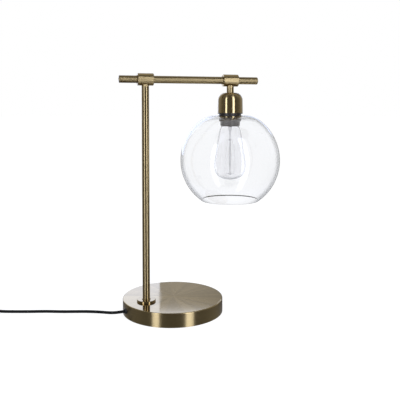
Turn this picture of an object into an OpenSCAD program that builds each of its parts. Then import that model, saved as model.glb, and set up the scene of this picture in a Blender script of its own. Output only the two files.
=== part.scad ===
// Table lamp: a heavy round base, an off-centre post, a cross bar that swivels on it and a hanging glass globe.
// Millimetres, +Z up. The origin is the centre of the base's underside, and the bar runs along +X at rest.

/* [Base] */
// Diameter of the round base
base_d = 200; // [180:1:230]
// Height of the base's top above the table
base_h = 28; // [26:0.5:34]
// Wall of the spun base cover
cover_wall = 1.5; // [1:0.1:2]
// Rounding of the cover's top edge
cover_edge_r = 1.8; // [1:0.1:3]
// Gap between the cover's lower edge and the table
cover_lift = 0.8; // [0.4:0.1:1.5]
// Thickness of the felt pad
pad_t = 2; // [1.5:0.1:3]
// Thickness of the steel bottom plate
plate_t = 1.5; // [1:0.1:2]
// Thickness of the cast iron weight
weight_t = 12; // [9:0.5:12]
// Distance from the base's edge to the post's axis
post_inset = 42; // [32:1:44]
// Direction of the post from the base's centre, in degrees from the bar
post_angle = 194; // [190:1:206]
// Direction of the cord's exit from the base's centre, in degrees from the bar
exit_angle = 192; // [190:1:193]
// Height of the cord's exit above the table
exit_z = 13.4; // [12:0.1:15]

/* [Post] */
// Outside diameter of the post
post_d = 14.5; // [14:0.1:16]
// Wall of the post
post_wall = 1.25; // [1:0.05:1.4]
// Length of the post
post_len = 414.5; // [300:0.5:520]
// Diameter of the collar under the post
foot_d = 37; // [32:0.5:44]
// Height of the collar under the post
foot_h = 4; // [3:0.5:9]
// Height of the small rim that holds the post on that collar
foot_rim_h = 1.5; // [1:0.1:3]

/* [Arm] */
// Outside diameter of the cross bar
bar_d = 14.5; // [13.5:0.1:16]
// Wall of the cross bar
bar_wall = 1.2; // [1:0.05:1.4]
// Length of the bar behind the post's axis
bar_back = 49; // [40:1:80]
// Distance from the post's axis to the lampholder's axis
bar_reach = 172; // [150:1:220]
// Length of the bar past the lampholder's axis
bar_nose = 55; // [40:1:80]
// Diameter of the sleeves on the bar
sleeve_d = 24; // [22:0.5:28]
// Length of the sleeves on the bar
sleeve_len = 31; // [26:0.5:40]
// Length of the short neck under each sleeve
neck_len = 3; // [2:0.5:6]
// Thickness of the end caps' discs
end_cap_t = 2; // [1.5:0.1:4]

/* [Lampholder] */
// Length of the stem between the sleeve's neck and the cup
stem_len = 9.5; // [6:0.5:20]
// Diameter of the cup at its mouth
cup_d = 50.8; // [48:0.2:56]
// Height of the cup
cup_h = 40.5; // [40:0.5:48]
// Wall of the cup
cup_wall = 1; // [0.8:0.1:1.4]
// Rounding of the cup's shoulder
cup_shoulder_r = 14; // [9:0.5:14]
// Diameter of the lampholder's threaded skirt
skirt_d = 39.4; // [38:0.1:39.4]
// Length of the skirt below the lampholder's flange
skirt_len = 20.3; // [18:0.1:23]
// Diameter of the lampholder's flange
flange_d = 44.4; // [43.6:0.2:46]
// Thickness of the lampholder's flange
flange_t = 6.5; // [5:0.1:7.5]
// Thickness of the lip on the flange that the cup stands on
lip_t = 1.6; // [1:0.1:2.5]
// Diameter of the ring that holds the shade
ring_d = 44.8; // [44:0.2:48]
// Height of the ring that holds the shade
ring_h = 6.2; // [5:0.2:8]

/* [Shade] */
// Outside diameter of the glass globe
globe_d = 200; // [190:1:220]
// Wall of the glass globe
globe_wall = 3; // [2.4:0.1:3.4]
// Diameter of the hole at the top of the globe
hole_d = 41; // [40:0.2:41.6]
// Depth of the flat seat below the globe's crown
seat_dip = 1.7; // [1:0.1:2.4]
// Depth of the open mouth below the globe's centre
mouth_drop = 82; // [76:1:86]

/* [Bulb] */
// Largest diameter of the bulb
bulb_d = 64; // [60:0.5:66]
// Length of the bulb's glass below its cap
bulb_len = 118; // [108:1:122]
// Diameter of the bulb's screw cap
cap_d = 26.4; // [26:0.1:26.6]
// Pitch of the screw cap's thread
cap_pitch = 3.6; // [3.4:0.1:3.8]

/* [Cord] */
// Diameter of the braided cord
cord_d = 5.6; // [5:0.1:5.6]
// Space between neighbouring turns of the coil
coil_gap = 0.5; // [0.45:0.01:0.8]
// Turns in the coil
coil_turns = 6.5; // [6.5]
// Diameter of the coil at the middle of its turns
coil_mid_d = 67; // [64:1:72]

/* [Switch] */
// Length of the switch housing between its two noses
switch_len = 42; // [40:1:50]
// Width of the switch housing
switch_w = 24; // [22:0.5:28]
// Height of the switch housing
switch_h = 15; // [14:0.5:18]

/* [Plug] */
// Width of the plug
plug_w = 34; // [33:0.5:36]
// Height of the plug
plug_h = 13.8; // [13:0.2:15]
// Length of the plug's body
plug_len = 26; // [24:0.5:32]

/* [Hidden] */
$fn = 96;

// Clearances
fit = 0.05;
seat_gap = 0.3;
slip = 0.2;
overlap = 1;

// Colours
brass = [0.62, 0.55, 0.38];
raw_brass = [0.78, 0.63, 0.33];
steel = [0.62, 0.63, 0.64];
iron = [0.25, 0.25, 0.26];
black = [0.07, 0.07, 0.075];
felt = [0.12, 0.12, 0.12];
clear_glass = [0.85, 0.9, 0.93, 0.35];
lead_colour = [0.85, 0.83, 0.78];

// Heights, from the table up
z_plate_top = pad_t + plate_t;
z_cover_in = base_h - cover_wall;
z_weight = z_cover_in - weight_t;
z_foot_top = base_h + foot_h;
z_post_top = z_foot_top + post_len;
swivel_washer_t = 0.5;
z_neck = z_post_top + swivel_washer_t;
z_bar = z_neck + neck_len + sleeve_d / 2;
z_cup_top = z_neck - stem_len;
z_cup_mouth = z_cup_top - cup_h;
z_flange_low = z_cup_mouth - flange_t;
z_shade_seat = z_flange_low - slip;
z_shade_lip = z_shade_seat - globe_wall;
z_skirt_end = z_flange_low - skirt_len;

// Places seen from above
post_x = (base_d / 2 - post_inset) * cos(post_angle);
post_y = (base_d / 2 - post_inset) * sin(post_angle);
head_x = post_x + bar_reach;
cover_in_r = base_d / 2 - cover_wall;
post_in_r = post_d / 2 - post_wall;
bar_in_r = bar_d / 2 - bar_wall;

// Hollow pins and nipples that the leads pass through
nipple_bore_r = 2.9;
base_nipple_r = 5;
pin_r = 4;
pin_run = 0.06;
base_washer_t = 1.5;
base_washer_r = 11;
base_nut_h = 3.5;
base_nut_af = 17;
foot_bush_len = 15;
z_base_nut = z_weight - base_washer_t - base_nut_h;
nipple_stick = 0.5;

// Swivel: a collared pin runs in the post's top bush and screws into the post's sleeve
top_bush_len = 10;
pin_collar_t = 1.7;
pin_collar_r = post_in_r - 0.4;
spring_washer_t = 0.6;
z_top_bush = z_post_top - top_bush_len;
z_pin_low = z_top_bush - spring_washer_t - pin_collar_t;
z_pin_top = z_bar - bar_in_r + 0.6;

// Leads inside the lamp
lead_d = 2;
lead_side = 1.15;
lead_sides = 8;

// Functions

function arc(centre, r, from, to, n) =
    [for (i = [0 : n]) let (a = from + (to - from) * i / n) centre + r * [cos(a), sin(a)]];

function reversed(list) = [for (i = [len(list) - 1 : -1 : 0]) list[i]];

function unit(v) = v / norm(v);

// A point on a smooth curve through b and c, with a and d as its neighbours
function spline_point(a, b, c, d, t) =
    0.5 * (2 * b + (c - a) * t + (2 * a - 5 * b + 4 * c - d) * t * t + (3 * b - a - 3 * c + d) * t * t * t);

// A smooth path through all the points, with some steps for each stretch
function smooth_path(points, steps) =
    let (last = len(points) - 1)
    concat([for (i = [0 : last - 1]) for (k = [0 : steps - 1])
        spline_point(points[max(i - 1, 0)], points[i], points[i + 1], points[min(i + 2, last)], k / steps)],
        [points[last]]);

function path_length(path) =
    len(path) < 2 ? 0 : sum([for (i = [1 : len(path) - 1]) norm(path[i] - path[i - 1])]);

function sum(list) = list * [for (value = list) 1];

function tangent(path, i) = unit(path[min(i + 1, len(path) - 1)] - path[max(i - 1, 0)]);

// A frame that turns as little as it can from ring to ring along the path
function swept_normals(path, start) =
    [for (i = 0, n = start - (start * tangent(path, 0)) * tangent(path, 0); i < len(path);
        i = i + 1, n = n - (n * tangent(path, min(i, len(path) - 1))) * tangent(path, min(i, len(path) - 1)))
        unit(n)];

function tube_rings(path, r, sides, start) =
    let (normals = swept_normals(path, start))
    [for (i = [0 : len(path) - 1]) let (side = cross(tangent(path, i), normals[i])) for (k = [0 : sides - 1])
        let (a = 360 * (k + 0.5) / sides) path[i] + r * (cos(a) * normals[i] + sin(a) * side)];

// A swept round tube with flat ends: one closed solid
module tube(path, d, sides, start = [0, 0, 1]) {
    rings = len(path);
    walls = [for (i = [0 : rings - 2]) for (k = [0 : sides - 1])
        let (a = i * sides + k, b = i * sides + (k + 1) % sides) for (half = [0, 1])
            half == 0 ? [a, a + sides, b] : [b, a + sides, b + sides]];
    near_end = [for (k = [1 : sides - 2]) [0, k, k + 1]];
    far_end = [for (k = [1 : sides - 2]) let (f = (rings - 1) * sides) [f, f + k + 1, f + k]];
    polyhedron(tube_rings(path, d / 2, sides, start), concat(walls, near_end, far_end));
}

// Shared shapes

module ring_solid(outer_r, inner_r, z, h) {
    translate([0, 0, z]) difference() {
        cylinder(r = outer_r, h = h);
        translate([0, 0, -overlap]) cylinder(r = inner_r, h = h + 2 * overlap);
    }
}

// A nut or any other six-sided block with a bore
module hex_nut(across_flats, bore_r, z, h) {
    translate([0, 0, z]) difference() {
        cylinder(r = across_flats / 2 / cos(30), h = h, $fn = 6);
        translate([0, 0, -overlap]) cylinder(r = bore_r, h = h + 2 * overlap);
    }
}

module at_post() {
    translate([post_x, post_y, 0]) children();
}

module at_head() {
    translate([head_x, post_y, 0]) children();
}

// Turns +X to point outwards along the cord's exit
module at_exit() {
    rotate([0, 0, exit_angle]) children();
}

// Base

plate_r = cover_in_r - 0.6;
pad_r = plate_r - 2;
boss_count = 3;
boss_circle_r = base_d / 2 - 26;
boss_first = 20;
boss_r = 6;
plate_screw_r = 2;
screw_head_r = 4;
screw_head_t = 2.2;
plate_screw_len = 9;
weight_r = base_d / 2 - 8;
notch_w = 15;
notch_inner = base_d / 2 - 30;
clamp_mid = base_d / 2 - 17;
clamp_len = 13;
clamp_w = 14;
clamp_ear_t = 2;
clamp_ear_w = 34;
clamp_roof = 5;
clamp_floor = 4.6;
clamp_screw_x = 12;
clamp_screw_r = 1.5;
clamp_screw_len = 8;
cord_hole_r = cord_d / 2 + 0.1;
grommet_neck_r = 4;
grommet_flange_r = 5.4;
grommet_flange_t = 2;
grommet_back_gap = 0.25;

module each_boss() {
    for (i = [0 : boss_count - 1]) rotate([0, 0, boss_first + 360 * i / boss_count])
        translate([boss_circle_r, 0, 0]) children();
}

module felt_pad() {
    color(felt) difference() {
        cylinder(r = pad_r, h = pad_t);
        each_boss() translate([0, 0, -overlap]) cylinder(r = screw_head_r + 1, h = pad_t + 2 * overlap);
    }
}

module bottom_plate() {
    color(steel) difference() {
        translate([0, 0, pad_t]) cylinder(r = plate_r, h = plate_t);
        each_boss() translate([0, 0, pad_t - overlap]) cylinder(r = plate_screw_r + fit,
            h = plate_t + 2 * overlap);
    }
}

module plate_screws() {
    color(steel) each_boss() {
        difference() {
            translate([0, 0, pad_t - screw_head_t + 0.4]) cylinder(r = screw_head_r, h = screw_head_t - 0.4);
            translate([-screw_head_r, -0.5, pad_t - screw_head_t]) cube([2 * screw_head_r, 1, 1]);
        }
        translate([0, 0, pad_t - 0.2]) cylinder(r = plate_screw_r, h = plate_screw_len + 0.2);
    }
}

module base_weight() {
    color(iron) difference() {
        union() {
            translate([0, 0, z_weight]) cylinder(r = weight_r, h = weight_t);
            each_boss() translate([0, 0, z_plate_top]) cylinder(r = boss_r,
                h = z_weight - z_plate_top + overlap);
        }
        at_post() translate([0, 0, z_weight - overlap])
            cylinder(r = base_nipple_r + 0.4, h = weight_t + 2 * overlap);
        at_exit() translate([notch_inner, -notch_w / 2, z_weight - overlap])
            cube([weight_r, notch_w, weight_t + 2 * overlap]);
        each_boss() translate([0, 0, z_plate_top - overlap])
            cylinder(r = plate_screw_r + fit, h = plate_screw_len + overlap);
        at_exit() for (side = [-1, 1]) translate([clamp_mid, side * clamp_screw_x, z_weight - overlap])
            cylinder(r = clamp_screw_r + fit, h = clamp_screw_len + overlap);
    }
}

cover_outline = concat(
    [[0, base_h]],
    arc([base_d / 2 - cover_edge_r, base_h - cover_edge_r], cover_edge_r, 90, 0, 6),
    [[base_d / 2, cover_lift], [cover_in_r, cover_lift], [cover_in_r, z_cover_in], [0, z_cover_in]]);

module base_cover() {
    color(brass) difference() {
        rotate_extrude() polygon(cover_outline);
        at_post() translate([0, 0, z_cover_in - overlap])
            cylinder(r = base_nipple_r + slip, h = cover_wall + 2 * overlap);
        at_exit() translate([cover_in_r - 2 * overlap, 0, exit_z]) rotate([0, 90, 0])
            cylinder(r = grommet_neck_r + fit, h = cover_wall + 4 * overlap);
    }
}

module cord_grommet() {
    back = cover_in_r - grommet_back_gap;
    color(black) at_exit() translate([0, 0, exit_z]) rotate([0, 90, 0]) difference() {
        union() {
            translate([0, 0, back - grommet_flange_t]) cylinder(r = grommet_flange_r - 0.4,
                h = grommet_flange_t);
            translate([0, 0, back - overlap]) cylinder(r = grommet_neck_r,
                h = base_d / 2 - back + 1.5 * overlap);
            translate([0, 0, base_d / 2]) cylinder(r1 = grommet_flange_r, r2 = grommet_flange_r - 0.8,
                h = grommet_flange_t);
        }
        translate([0, 0, back - grommet_flange_t - overlap])
            cylinder(r = cord_hole_r, h = base_d / 2 - back + 2 * grommet_flange_t + 2 * overlap);
    }
}

module cord_clamp() {
    color(black) at_exit() difference() {
        union() {
            translate([clamp_mid - clamp_len / 2, -clamp_w / 2, exit_z - clamp_floor])
                cube([clamp_len, clamp_w, clamp_floor + clamp_roof]);
            translate([clamp_mid - clamp_len / 2, -clamp_ear_w / 2, z_weight - clamp_ear_t])
                cube([clamp_len, clamp_ear_w, clamp_ear_t]);
        }
        translate([clamp_mid - clamp_len / 2 - overlap, 0, exit_z]) rotate([0, 90, 0])
            cylinder(r = cord_hole_r, h = clamp_len + 2 * overlap);
        for (side = [-1, 1]) translate([clamp_mid, side * clamp_screw_x, z_weight - clamp_ear_t - overlap])
            cylinder(r = clamp_screw_r + fit, h = clamp_ear_t + 2 * overlap);
    }
}

module clamp_screws() {
    color(steel) at_exit() for (side = [-1, 1]) translate([clamp_mid, side * clamp_screw_x,
        z_weight - clamp_ear_t]) {
        translate([0, 0, -2]) cylinder(r = 2.8, h = 2);
        translate([0, 0, -0.2]) cylinder(r = clamp_screw_r, h = clamp_screw_len);
    }
}

module base_washer() {
    color(steel) at_post() ring_solid(base_washer_r, base_nipple_r + slip, z_weight - base_washer_t,
        base_washer_t);
}

module base_nut() {
    color(raw_brass) at_post() hex_nut(base_nut_af, base_nipple_r + fit, z_base_nut, base_nut_h);
}

module base_nipple() {
    low = z_base_nut - nipple_stick;
    color(raw_brass) at_post() ring_solid(base_nipple_r, nipple_bore_r, low,
        z_foot_top + foot_bush_len - 2 - low);
}

// Post

foot_chamfer = 0.6;
rim_wall = 1.2;
rim_r = post_d / 2 + rim_wall;
rim_chamfer = 0.4;

module post_foot() {
    color(brass) at_post() difference() {
        translate([0, 0, base_h]) rotate_extrude() polygon([[0, 0], [foot_d / 2, 0],
            [foot_d / 2, foot_h - foot_chamfer], [foot_d / 2 - foot_chamfer, foot_h], [rim_r, foot_h],
            [rim_r, foot_h + foot_rim_h - rim_chamfer], [rim_r - rim_chamfer, foot_h + foot_rim_h],
            [0, foot_h + foot_rim_h]]);
        translate([0, 0, z_foot_top]) cylinder(r = post_d / 2 + fit, h = foot_rim_h + overlap);
        translate([0, 0, base_h - overlap]) cylinder(r = base_nipple_r + slip, h = foot_h + 2 * overlap);
    }
}

module post_foot_bush() {
    color(raw_brass) at_post() ring_solid(post_in_r - fit, base_nipple_r + fit, z_foot_top, foot_bush_len);
}

module post_tube() {
    color(brass) at_post() ring_solid(post_d / 2, post_in_r, z_foot_top, post_len);
}

module post_top_bush() {
    color(raw_brass) at_post() ring_solid(post_in_r - fit, pin_r + pin_run, z_top_bush, top_bush_len);
}

module swivel_spring_washer() {
    color(steel) at_post() ring_solid(pin_collar_r, pin_r + slip, z_top_bush - spring_washer_t,
        spring_washer_t);
}

module swivel_friction_washer() {
    color(black) at_post() ring_solid(post_d / 2 - 0.2, pin_r + slip, z_post_top, swivel_washer_t);
}

// Arm

bar_low_x = post_x - bar_back;
bar_high_x = head_x + bar_nose;
cap_plug_len = 6;
cap_chamfer = 0.6;
mouth_chamfer = 1.2;

module swivel_pin() {
    color(steel) at_post() difference() {
        union() {
            translate([0, 0, z_pin_low]) cylinder(r = pin_collar_r, h = pin_collar_t);
            translate([0, 0, z_pin_low]) cylinder(r = pin_r, h = z_pin_top - z_pin_low);
        }
        translate([0, 0, z_pin_low - overlap]) cylinder(r = nipple_bore_r,
            h = z_pin_top - z_pin_low + 2 * overlap);
    }
}

// A sleeve on the bar, with a short neck below and chamfered bore mouths
module bar_sleeve(x) {
    outer_r = sleeve_d / 2;
    bore_r = bar_d / 2 + fit;
    color(brass) translate([x, post_y, z_bar]) difference() {
        union() {
            rotate([0, 90, 0]) translate([0, 0, -sleeve_len / 2]) rotate_extrude() polygon([[0, 0],
                [outer_r - 0.5, 0], [outer_r, 0.5], [outer_r, sleeve_len - 0.5], [outer_r - 0.5, sleeve_len],
                [0, sleeve_len]]);
            translate([0, 0, z_neck - z_bar]) cylinder(r = post_d / 2, h = neck_len + outer_r - bore_r);
        }
        rotate([0, 90, 0]) translate([0, 0, -sleeve_len / 2]) rotate_extrude() polygon([[0, -overlap],
            [bore_r + mouth_chamfer, -overlap], [bore_r + mouth_chamfer, 0], [bore_r, mouth_chamfer],
            [bore_r, sleeve_len - mouth_chamfer], [bore_r + mouth_chamfer, sleeve_len],
            [bore_r + mouth_chamfer, sleeve_len + overlap], [0, sleeve_len + overlap]]);
        translate([0, 0, z_neck - z_bar - overlap]) cylinder(r = pin_r + fit, h = neck_len + outer_r);
    }
}

module post_sleeve() {
    bar_sleeve(post_x);
}

module head_sleeve() {
    bar_sleeve(head_x);
}

module crossbar() {
    color(brass) difference() {
        translate([bar_low_x, post_y, z_bar]) rotate([0, 90, 0]) ring_solid(bar_d / 2, bar_in_r, 0,
            bar_high_x - bar_low_x);
        for (x = [post_x, head_x]) translate([x, post_y, z_bar - bar_d / 2 - overlap])
            cylinder(r = pin_r + fit, h = bar_d / 2);
    }
}

// An end cap: a chamfered disc on a plug that is pressed into the bar
module end_cap(x, outward) {
    color(brass) translate([x, post_y, z_bar]) rotate([0, 90 * outward, 0]) rotate_extrude() polygon([
        [0, -cap_plug_len], [bar_in_r - fit, -cap_plug_len], [bar_in_r - fit, 0], [bar_d / 2, 0],
        [bar_d / 2, end_cap_t - cap_chamfer], [bar_d / 2 - cap_chamfer, end_cap_t], [0, end_cap_t]]);
}

module rear_end_cap() {
    end_cap(bar_low_x, -1);
}

module front_end_cap() {
    end_cap(bar_high_x, 1);
}

// Lampholder

cup_nut_h = 4;
cup_nut_af = 13;
z_holder_top = z_cup_top - cup_wall - cup_nut_h - 2;
holder_neck_r = 7.5;
holder_neck_h = 8;
nipple_grip = 4;
z_holder_roof = z_holder_top - holder_neck_h;
holder_body_r = 19.5;
holder_mouth_r = skirt_d / 2 - 1.6;
holder_mouth_len = 12;
shell_out_r = cap_d / 2 + 1.1;
shell_wall = 0.5;
socket_r = shell_out_r + 0.1;
cap_len = 17;
cap_nose = 7;
z_cap_top = z_cup_mouth + 1;
z_cap_low = z_cap_top - cap_len;
z_tip = z_cap_top + cap_nose;
contact_t = 0.8;
z_contact = z_tip + seat_gap;
z_socket_roof = z_contact + contact_t + 1.5;
terminal_y = 9;
terminal_r = 2.6;
terminal_len = 6;
chamber_roof = 2;
chamber_h = 5;
z_terminal = z_holder_roof - chamber_roof - chamber_h;
stem_in_r = post_in_r;

module head_nipple() {
    low = z_holder_top - nipple_grip;
    color(raw_brass) at_head() ring_solid(pin_r, nipple_bore_r, low, z_pin_top - low);
}

module head_stem() {
    color(brass) at_head() ring_solid(post_d / 2, stem_in_r, z_cup_top, stem_len);
}

cup_flare = 0.4;
cup_side_r = cup_d / 2 - cup_flare;
cup_outside = concat([[0, cup_h]],
    arc([cup_side_r - cup_shoulder_r, cup_h - cup_shoulder_r], cup_shoulder_r, 90, 0, 10), [[cup_d / 2, 0]]);
cup_inside = concat([[cup_d / 2 - cup_wall, 0]],
    arc([cup_side_r - cup_shoulder_r, cup_h - cup_shoulder_r], cup_shoulder_r - cup_wall, 0, 90, 10),
    [[0, cup_h - cup_wall]]);

module lampholder_cup() {
    color(brass) at_head() translate([0, 0, z_cup_mouth]) difference() {
        rotate_extrude() polygon(concat(cup_outside, cup_inside));
        translate([0, 0, cup_h - 2 * cup_wall]) cylinder(r = pin_r + fit, h = 3 * cup_wall);
    }
}

module cup_nut() {
    color(steel) at_head() hex_nut(cup_nut_af, pin_r + fit, z_cup_top - cup_wall - cup_nut_h, cup_nut_h);
}

module lampholder_body() {
    skirt_r = skirt_d / 2;
    lip_r = cup_d / 2 - seat_gap;
    color(black) at_head() difference() {
        union() {
            rotate_extrude() polygon([[0, z_skirt_end], [skirt_r - 1.4, z_skirt_end],
                [skirt_r, z_skirt_end + 3], [skirt_r, z_flange_low], [flange_d / 2, z_flange_low],
                [flange_d / 2, z_cup_mouth - lip_t], [lip_r, z_cup_mouth - lip_t], [lip_r, z_cup_mouth],
                [holder_body_r, z_cup_mouth], [holder_body_r, z_holder_roof - 4],
                [holder_body_r - 4, z_holder_roof], [0, z_holder_roof]]);
            translate([0, 0, z_holder_roof - overlap]) cylinder(r = holder_neck_r,
                h = holder_neck_h + overlap);
        }
        translate([0, 0, z_skirt_end - overlap]) cylinder(r = socket_r,
            h = z_socket_roof - z_skirt_end + overlap);
        translate([0, 0, z_skirt_end - overlap]) cylinder(r1 = holder_mouth_r, r2 = socket_r,
            h = holder_mouth_len + overlap);
        translate([0, 0, z_terminal]) cylinder(r = holder_body_r - 5, h = chamber_h);
        translate([0, 0, z_terminal + overlap]) cylinder(r = nipple_bore_r, h = z_holder_top - z_terminal);
        translate([0, 0, z_holder_top - nipple_grip]) cylinder(r = pin_r + fit, h = nipple_grip + overlap);
        for (side = [-1, 1]) translate([0, side * terminal_y, z_terminal - terminal_len])
            cylinder(r = terminal_r + fit, h = terminal_len + overlap);
    }
}

module lampholder_shell() {
    low = z_skirt_end + holder_mouth_len;
    color(raw_brass) at_head() ring_solid(shell_out_r, shell_out_r - shell_wall, low, z_cap_top + 2 - low);
}

module lampholder_terminals() {
    color(raw_brass) at_head() for (side = [-1, 1]) translate([0, side * terminal_y,
        z_terminal - terminal_len])
        cylinder(r = terminal_r, h = terminal_len);
}

// The sprung tongue that meets the bulb's tip, riveted to the socket's roof
module lampholder_contact() {
    color(raw_brass) at_head() {
        translate([0, 0, z_contact]) cylinder(r = 4, h = contact_t);
        translate([0, -2.5, z_contact]) cube([9, 5, contact_t]);
        translate([9 - contact_t, -2.5, z_contact]) cube([contact_t, 5, z_socket_roof - z_contact]);
    }
}

module shade_ring() {
    color(black) at_head() difference() {
        translate([0, 0, z_shade_lip - ring_h]) rotate_extrude() polygon([[0, 0], [ring_d / 2 - 1.6, 0],
            [ring_d / 2, 1.2], [ring_d / 2, ring_h], [0, ring_h]]);
        translate([0, 0, z_shade_lip - ring_h - overlap]) cylinder(r = skirt_d / 2 + fit,
            h = ring_h + 2 * overlap);
    }
}

// Shade

globe_r = globe_d / 2;
globe_steps = 30;
crown_share = 0.62;
crown_angle = asin(crown_share);
crown_r = 53.5;
hole_round = 0.8;
crown_centre = (globe_r - crown_r) * [sin(crown_angle), cos(crown_angle)];
crown_top = crown_centre[1] + crown_r;
seat_run = 0.53 * (crown_centre[0] - hole_d / 2 - hole_round);
seat_steps = 6;
hole_r = hole_d / 2;
mouth_mid_r = globe_r - globe_wall / 2;
mouth_angle = asin((mouth_drop - globe_wall / 2) / mouth_mid_r);
z_globe = z_shade_seat - crown_top + seat_dip;

// The step from the crown down to the flat seat, on the outer face or, lowered by the wall, on the inner one
function seat_step(lower) = [for (i = [1 : seat_steps]) let (t = i / seat_steps)
    [crown_centre[0] - seat_run * t, crown_top - lower - seat_dip * (1 - cos(180 * t)) / 2]];

shade_outline = concat(
    arc([0, 0], globe_r, -mouth_angle, 90 - crown_angle, globe_steps),
    arc(crown_centre, crown_r, 90 - crown_angle, 90, 8),
    seat_step(0),
    arc([hole_r + hole_round, crown_top - seat_dip - hole_round], hole_round, 90, 180, 4),
    arc([hole_r + hole_round, crown_top - seat_dip - globe_wall + hole_round], hole_round, 180, 270, 4),
    reversed(seat_step(globe_wall)),
    arc(crown_centre, crown_r - globe_wall, 90, 90 - crown_angle, 8),
    arc([0, 0], globe_r - globe_wall, 90 - crown_angle, -mouth_angle, globe_steps),
    arc(mouth_mid_r * [cos(mouth_angle), -sin(mouth_angle)], globe_wall / 2, 205 - mouth_angle,
        335 - mouth_angle, 5));

module glass_shade() {
    color(clear_glass) at_head() translate([0, 0, z_globe]) rotate_extrude() polygon(shade_outline);
}

// Bulb

cap_r = cap_d / 2;
cap_wall = 0.4;
thread_depth = 1;
cap_nose_r = 9;
tip_r = 4.8;
tip_h = 2.5;
insulator_wall = 2.2;
bulb_wall = 0.8;
bulb_neck_r = cap_r - thread_depth - cap_wall - 0.3;
bulb_neck_up = 6;
thread_turns = floor((cap_len - 3) / cap_pitch);
mount_r = 1.6;
z_mount_flare = z_cap_low + 2;
z_pinch = z_cap_low - 0.152 * bulb_len;
z_upper_button = z_cap_low - 0.322 * bulb_len;
z_lower_button = z_cap_low - 0.907 * bulb_len;
hook_count = 5;
upper_hook_r = 8;
lower_hook_r = 12;
wire_d = 0.5;

// The bulb's outline: radius and depth below the cap, as shares of its largest radius and of its length
bulb_shares = [[0.41, 0.035], [0.5, 0.075], [0.655, 0.155], [0.775, 0.32], [0.865, 0.49], [0.975, 0.66],
    [1, 0.755], [0.95, 0.86], [0.78, 0.935], [0.5, 0.98], [0.22, 0.997], [0, 1]];

function bulb_outline(wall) =
    smooth_path([for (share = bulb_shares) [share[0] * (bulb_d / 2 - wall), -share[1] * (bulb_len - wall)]],
        3);

module at_bulb() {
    at_head() translate([0, 0, z_cap_low]) children();
}

module bulb_glass() {
    color(clear_glass) at_bulb() rotate_extrude() polygon(concat(
        [[bulb_neck_r - bulb_wall, bulb_neck_up], [bulb_neck_r, bulb_neck_up], [bulb_neck_r, -1]],
        bulb_outline(0), reversed(bulb_outline(bulb_wall)), [[bulb_neck_r - bulb_wall, -1]]));
}

// One rounded thread crest and the root below it
function thread_wave(z) = [for (i = [0 : 5]) [cap_r - thread_depth * (1 + cos(60 * i)) / 2,
    z + cap_pitch * i / 6]];

module bulb_cap() {
    inner_r = cap_r - thread_depth - cap_wall;
    color(steel) at_bulb() rotate_extrude() polygon(concat([[inner_r, 0], [cap_r - thread_depth, 0]],
        [for (turn = [0 : thread_turns - 1]) each thread_wave(1.5 + turn * cap_pitch)],
        [[cap_r - thread_depth, 1.5 + thread_turns * cap_pitch], [cap_r - thread_depth, cap_len - 1],
        [cap_nose_r, cap_len + 1], [cap_nose_r - cap_wall, cap_len + 1], [inner_r, cap_len - 1.5]]));
}

module bulb_insulator() {
    color(black) at_bulb() rotate_extrude() polygon([[tip_r - insulator_wall, cap_len + 1], [cap_nose_r,
        cap_len + 1],
        [tip_r, cap_len + cap_nose - tip_h], [tip_r - insulator_wall, cap_len + cap_nose - tip_h]]);
}

module bulb_tip_contact() {
    color(steel) at_bulb() translate([0, 0, cap_len + cap_nose - tip_h]) rotate_extrude()
        polygon([[0, 0], [tip_r, 0],
        [tip_r, tip_h - 1.2], [tip_r - 1.2, tip_h - 0.3], [tip_r - 3, tip_h], [0, tip_h]]);
}

// A round wire from one point to another
module wire(from, to, d) {
    span = to - from;
    translate(from) rotate([0, acos(span[2] / norm(span)), atan2(span[1], span[0])])
        cylinder(r = d / 2, h = norm(span), $fn = 16);
}

function round_axis(r, angle, z) = [r * cos(angle), r * sin(angle), z];

module hooks(z, r, first) {
    for (i = [0 : hook_count - 1]) wire([0, 0, z], round_axis(r - wire_d, first + 360 * i / hook_count, z),
        wire_d);
}

// The glass stem in the bulb, with the wires that carry the filament
module bulb_mount() {
    neck = bulb_neck_r - bulb_wall - 0.2;
    color(clear_glass) at_head() {
        rotate_extrude() polygon([[0, z_lower_button - 1.5], [2.4, z_lower_button - 1.5], [2.4,
            z_lower_button + 1.5],
            [mount_r, z_lower_button + 2.5], [mount_r, z_upper_button - 2], [2.4, z_upper_button - 1],
            [2.4, z_upper_button + 1], [mount_r, z_upper_button + 2], [mount_r, z_pinch - 4], [3, z_pinch],
            [3.4, z_pinch + 6], [neck - 4, z_mount_flare - 6], [neck, z_mount_flare], [neck,
                z_mount_flare + 1],
            [neck - 1, z_mount_flare + 1], [neck - 5, z_mount_flare - 5.5], [0, z_pinch + 8]]);
        hooks(z_upper_button, upper_hook_r, 360 / hook_count);
        hooks(z_lower_button, lower_hook_r, 180 / hook_count);
    }
}

// The wire that runs up and down round the stem as a cage: its height follows a rounded saw-tooth wave
filament_sharp = 0.97;
filament_steps = 12;

function cage_share(angle) =
    0.5 + 0.5 * asin(filament_sharp * cos(hook_count * angle)) / asin(filament_sharp);

cage_path = [for (i = [1 : hook_count * filament_steps - 1])
    let (angle = 360 * i / (hook_count * filament_steps), share = cage_share(angle))
    round_axis(lower_hook_r + (upper_hook_r - lower_hook_r) * share, angle,
        z_lower_button + (z_upper_button - z_lower_button) * share)];

module bulb_filament() {
    color(brass) at_head() tube(cage_path, wire_d, 6);
}

// Leads inside the lamp

cord_start_inset = 21;
lead_turn_inset = 29;
cord_start = base_d / 2 - cord_start_inset;
z_lead_split = z_pin_low - 1;
lead_turn_x = base_d / 2 - lead_turn_inset;

function exit_point(r, z) = [r * cos(exit_angle), r * sin(exit_angle), z];

function toward_post(share, z) = let (from = exit_point(lead_turn_x, z), to = [post_x, post_y, z])
    from + share * (to - from);

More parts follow.
